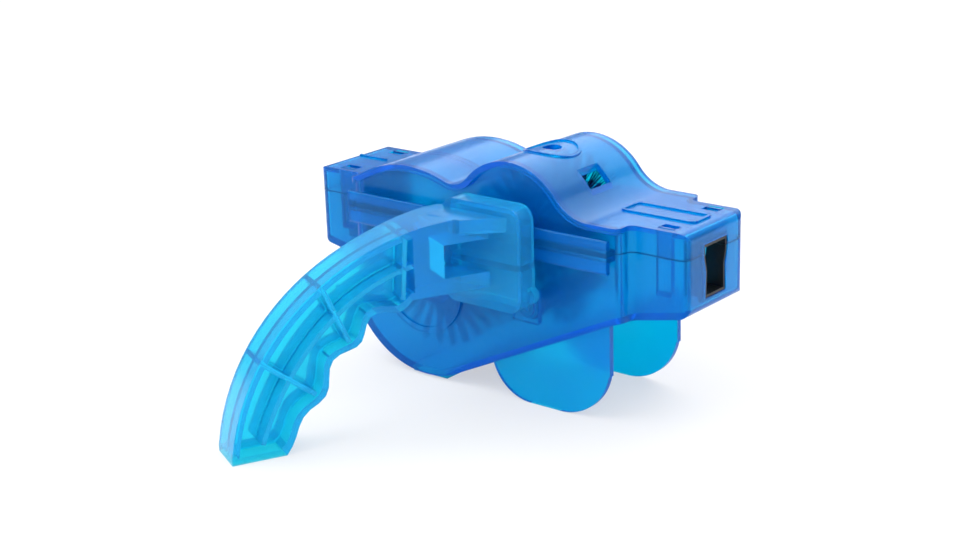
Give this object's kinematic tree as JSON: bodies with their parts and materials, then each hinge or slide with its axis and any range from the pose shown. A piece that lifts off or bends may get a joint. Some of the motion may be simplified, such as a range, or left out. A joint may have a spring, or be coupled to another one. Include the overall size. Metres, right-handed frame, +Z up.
{
  "type": "bike chain cleaner",
  "caption": "Two-part housing that closes over a bicycle chain, with turning brushes, sponges, rubber end seals and an arched clip-on handle.",
  "frame": {"origin": "centre of the foot pad's face, on the ground under the lower brush's axle", "axes": "+X along the chain from the exit end to the entry end with the black slot, -Y towards the handle, +Z up"},
  "size_m": [0.1525, 0.1395, 0.0821],
  "materials": {
    "housing": "translucent blue moulding, frosted gloss",
    "seal": "black rubber, matt",
    "sponge": "open-cell foam",
    "axle": "drawn steel pin",
    "hub": "blue moulding",
    "bristle": "nylon strands",
    "bush": "white bearing plastic"
  },
  "bodies": {
    "tub": {"tub": "housing", "entry_seal_lower": "seal", "exit_seal_lower": "seal", "lower_sponge": "sponge", "lower_bushes": "bush", "centre_bushes": "bush"},
    "lid": {"lid": "housing", "entry_seal_upper": "seal", "exit_seal_upper": "seal", "upper_sponge": "sponge", "upper_bushes": "bush"},
    "handle": {"handle": "housing"},
    "lower_brush": {"lower_axle": "axle", "lower_hub": "hub", "lower_bristles_near": "bristle", "lower_bristles_far": "bristle"},
    "upper_brush": {"upper_axle": "axle", "upper_hub": "hub", "upper_bristles_near": "bristle", "upper_bristles_far": "bristle"},
    "centre_brush": {"centre_axle": "axle", "centre_hub": "hub", "centre_bristles": "bristle"}
  },
  "joints": [
    {"name": "lid_lift", "type": "slide", "parent": "tub", "child": "lid", "axis": [0, 0, 1], "range_m": [0, 0.05]},
    {"name": "handle_slide", "type": "slide", "parent": "tub", "child": "handle", "axis": [1, 0, 0], "range_m": [0, 0.062]},
    {"name": "lower_brush_spin", "type": "hinge", "parent": "tub", "child": "lower_brush", "pos_m": [0, 0, 0.034], "axis": [0, 1, 0], "continuous": true},
    {"name": "centre_brush_spin", "type": "hinge", "parent": "tub", "child": "centre_brush", "pos_m": [0.043, 0, 0.033], "axis": [0, 1, 0], "continuous": true},
    {"name": "upper_brush_spin", "type": "hinge", "parent": "lid", "child": "upper_brush", "pos_m": [0.0395, 0, 0.0585], "axis": [0, 1, 0], "continuous": true}
  ]
}
